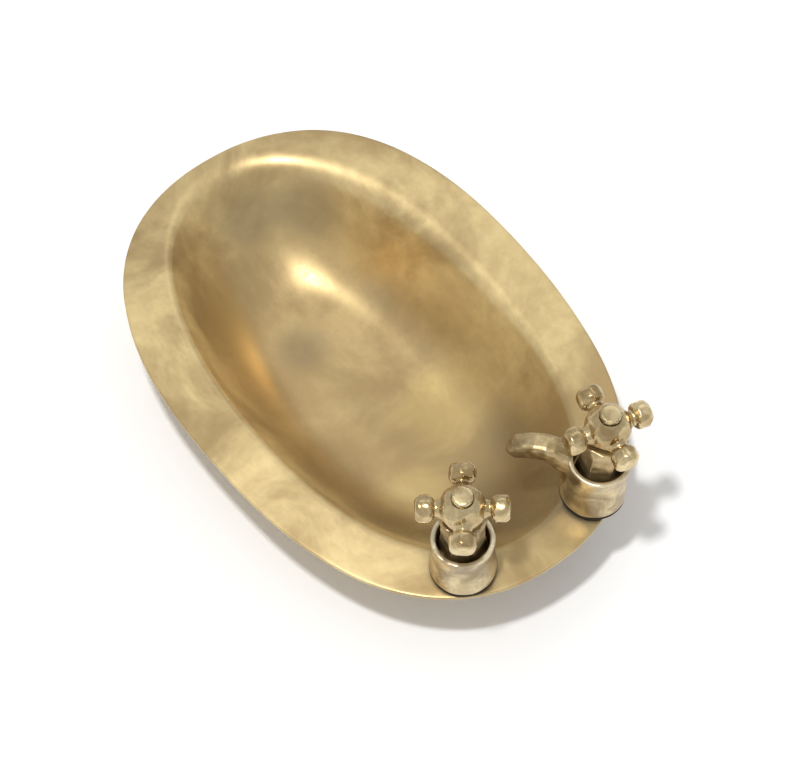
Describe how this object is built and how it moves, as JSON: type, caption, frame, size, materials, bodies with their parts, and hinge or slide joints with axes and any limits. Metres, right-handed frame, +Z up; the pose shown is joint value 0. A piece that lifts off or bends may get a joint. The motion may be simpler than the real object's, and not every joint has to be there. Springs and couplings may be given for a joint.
{
  "type": "soap dish",
  "caption": "Oval bath-shaped brass soap dish with a broad sloping rim and miniature cross-handle taps, one with a spout reaching over the well.",
  "frame": {"origin": "middle of the flat underside the dish stands on", "axes": "+Z up, +X along the dish towards the taps, +Y towards the tap with the spout"},
  "size_m": [0.1683, 0.1116, 0.0748],
  "materials": {
    "basin_brass": "aged satin, brown patina in the well",
    "collar_brass": "aged satin, filed lip",
    "gland_brass": "aged dull",
    "handle_brass": "polished, dark in the crevices",
    "hardware_brass": "plain turned",
    "gasket_fibre": "matt black"
  },
  "bodies": {
    "dish": {"basin": "basin_brass", "spout": "collar_brass", "plain_tap_collar": "collar_brass", "plain_tap_gasket": "gasket_fibre", "plain_tap_gland_nut": "gland_brass", "plain_tap_stud": "hardware_brass", "plain_tap_thrust_washer": "hardware_brass", "plain_tap_cap_nut": "handle_brass", "plain_tap_under_washer": "hardware_brass", "plain_tap_fixing_nut": "hardware_brass", "spout_tap_collar": "collar_brass", "spout_tap_gasket": "gasket_fibre", "spout_tap_gland_nut": "gland_brass", "spout_tap_stud": "hardware_brass", "spout_tap_thrust_washer": "hardware_brass", "spout_tap_cap_nut": "handle_brass", "spout_tap_under_washer": "hardware_brass", "spout_tap_fixing_nut": "hardware_brass"},
    "plain_handle": {"plain_tap_cross_handle": "handle_brass"},
    "spout_handle": {"spout_tap_cross_handle": "handle_brass"}
  },
  "joints": [
    {"name": "plain_handle_turn", "type": "hinge", "parent": "dish", "child": "plain_handle", "pos_m": [0.06875, -0.0204, 0.0312], "axis": [0.0499, -0.0605, 0.9969], "continuous": true},
    {"name": "spout_handle_turn", "type": "hinge", "parent": "dish", "child": "spout_handle", "pos_m": [0.0709, 0.0221, 0.0312], "axis": [0.0618, 0.0483, 0.9969], "continuous": true}
  ]
}
